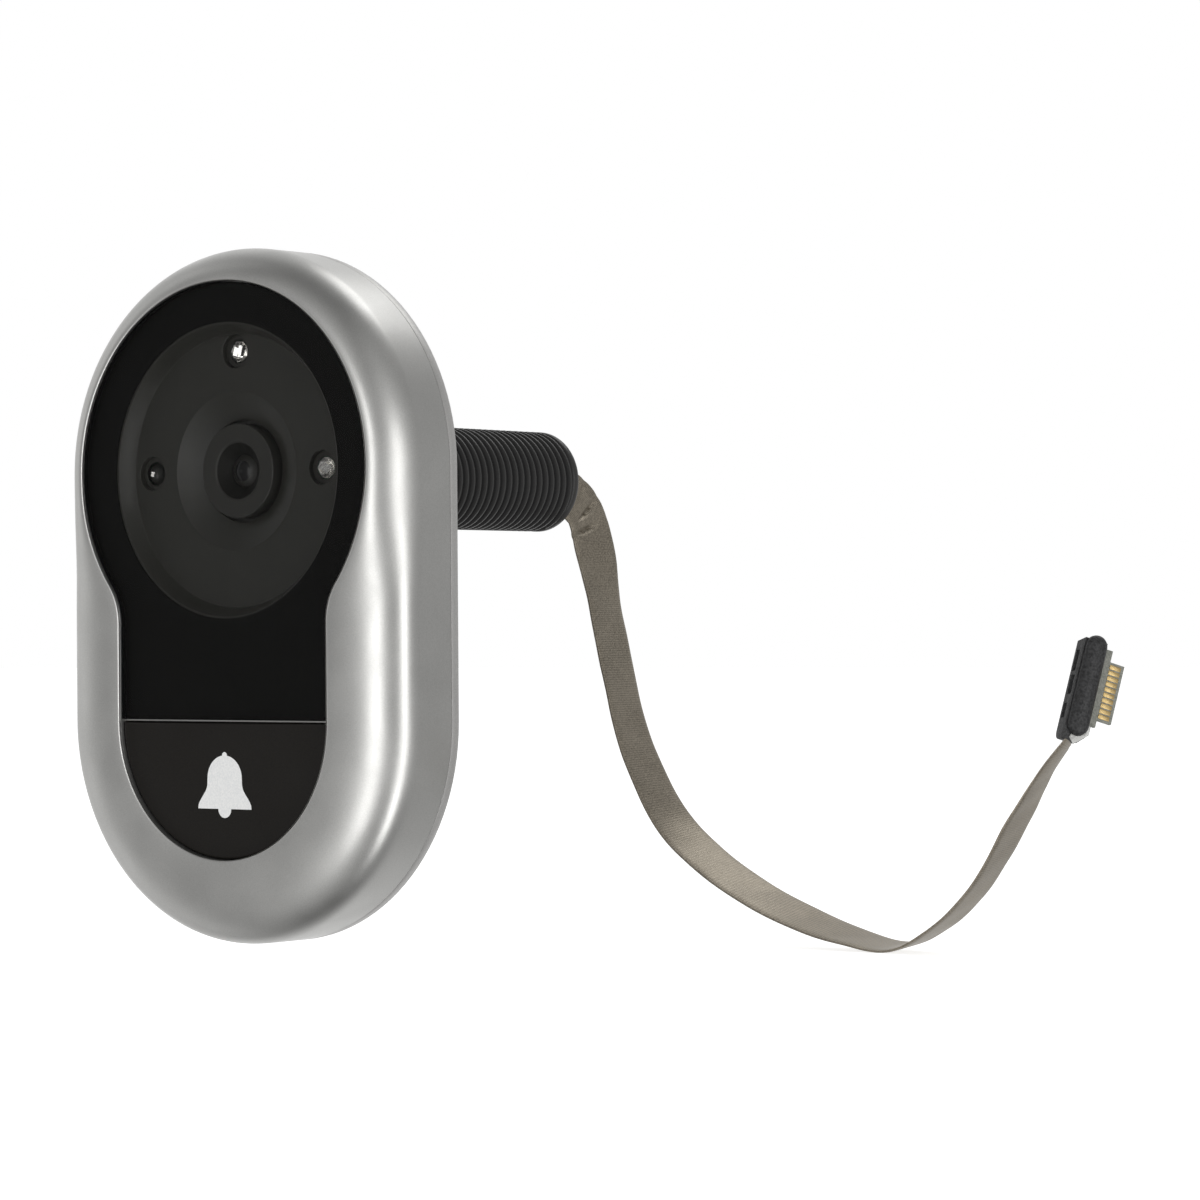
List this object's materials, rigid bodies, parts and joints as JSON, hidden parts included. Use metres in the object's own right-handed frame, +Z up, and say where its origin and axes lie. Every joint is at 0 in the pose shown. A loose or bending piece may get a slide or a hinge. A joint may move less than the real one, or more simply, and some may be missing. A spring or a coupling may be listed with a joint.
{
  "type": "peephole door camera outdoor unit",
  "caption": "Rounded door camera case with a smoked camera window and a bell button, a threaded tube through the door and a ribbon cable with its plug.",
  "frame": {"origin": "on the tube's axis, at the rear cover's back face, where the tube's plain shank begins", "axes": "+Z up along the case's height, +Y along the tube away from the case, the front faces -Y"},
  "size_m": [0.1149, 0.0813, 0.0931],
  "materials": {
    "silver_paint": "satin silver lacquer",
    "cover_plastic": "fine matte moulding",
    "foam": "closed-cell foam",
    "seal_rubber": "smooth",
    "screw_steel": "zinc plated",
    "smoked_acrylic": "polished",
    "black_print": "printed film",
    "tape": "adhesive tape",
    "baffle_plastic": "fine matte moulding",
    "lens_plastic": "turned",
    "lens_glass": "coated, polished",
    "clear_epoxy": "moulded clear",
    "smoked_epoxy": "moulded tinted",
    "chip": "sealed chip",
    "board_laminate": "solder mask",
    "button_plastic": "satin moulding",
    "symbol_white": "white moulding",
    "spring_steel": "drawn wire",
    "switch_plastic": "moulded",
    "plunger_plastic": "moulded",
    "tube_plastic": "moulded thread, matte",
    "socket_plastic": "moulded",
    "ribbon_shield": "woven metallised cloth",
    "plug_plastic": "rough moulding",
    "plug_laminate": "solder mask",
    "gold": "gold plated",
    "film": "clear film"
  },
  "bodies": {
    "case": {"front_shell": "silver_paint", "rear_cover": "cover_plastic", "rear_gasket": "foam", "case_seal": "seal_rubber", "case_screws": "screw_steel", "front_window": "smoked_acrylic", "panel_mask": "black_print", "window_tape": "tape", "light_baffle": "baffle_plastic", "lens_barrel": "lens_plastic", "lens_glass": "lens_glass", "lens_holder": "lens_plastic", "image_sensor": "chip", "infrared_lamps": "clear_epoxy", "light_sensor": "smoked_epoxy", "main_board": "board_laminate", "board_screws": "screw_steel", "button_springs": "spring_steel", "switch_body": "switch_plastic", "threaded_tube": "tube_plastic", "tube_screws": "screw_steel", "ribbon_socket": "socket_plastic", "ribbon_inner": "ribbon_shield", "ribbon_free": "ribbon_shield", "plug_housing": "plug_plastic", "plug_cover": "plug_plastic", "plug_board": "plug_laminate", "plug_contacts": "gold", "plug_film": "film"},
    "button": {"bell_button": "button_plastic", "bell_symbol": "symbol_white", "button_clips": "spring_steel"},
    "plunger": {"switch_plunger": "plunger_plastic"}
  },
  "joints": [
    {"name": "bell_press", "type": "slide", "parent": "case", "child": "button", "axis": [0, 1, 0], "range_m": [0, 0.0006], "stiffness_N_per_m": 1500, "springref_m": -0.0008, "deforming": ["button_springs"]},
    {"name": "plunger_press", "type": "slide", "parent": "case", "child": "plunger", "axis": [0, 1, 0], "range_m": [0, 0.0006]}
  ],
  "couplings": [
    {"joint": "plunger_press", "follows": "bell_press", "ratio": 1}
  ]
}
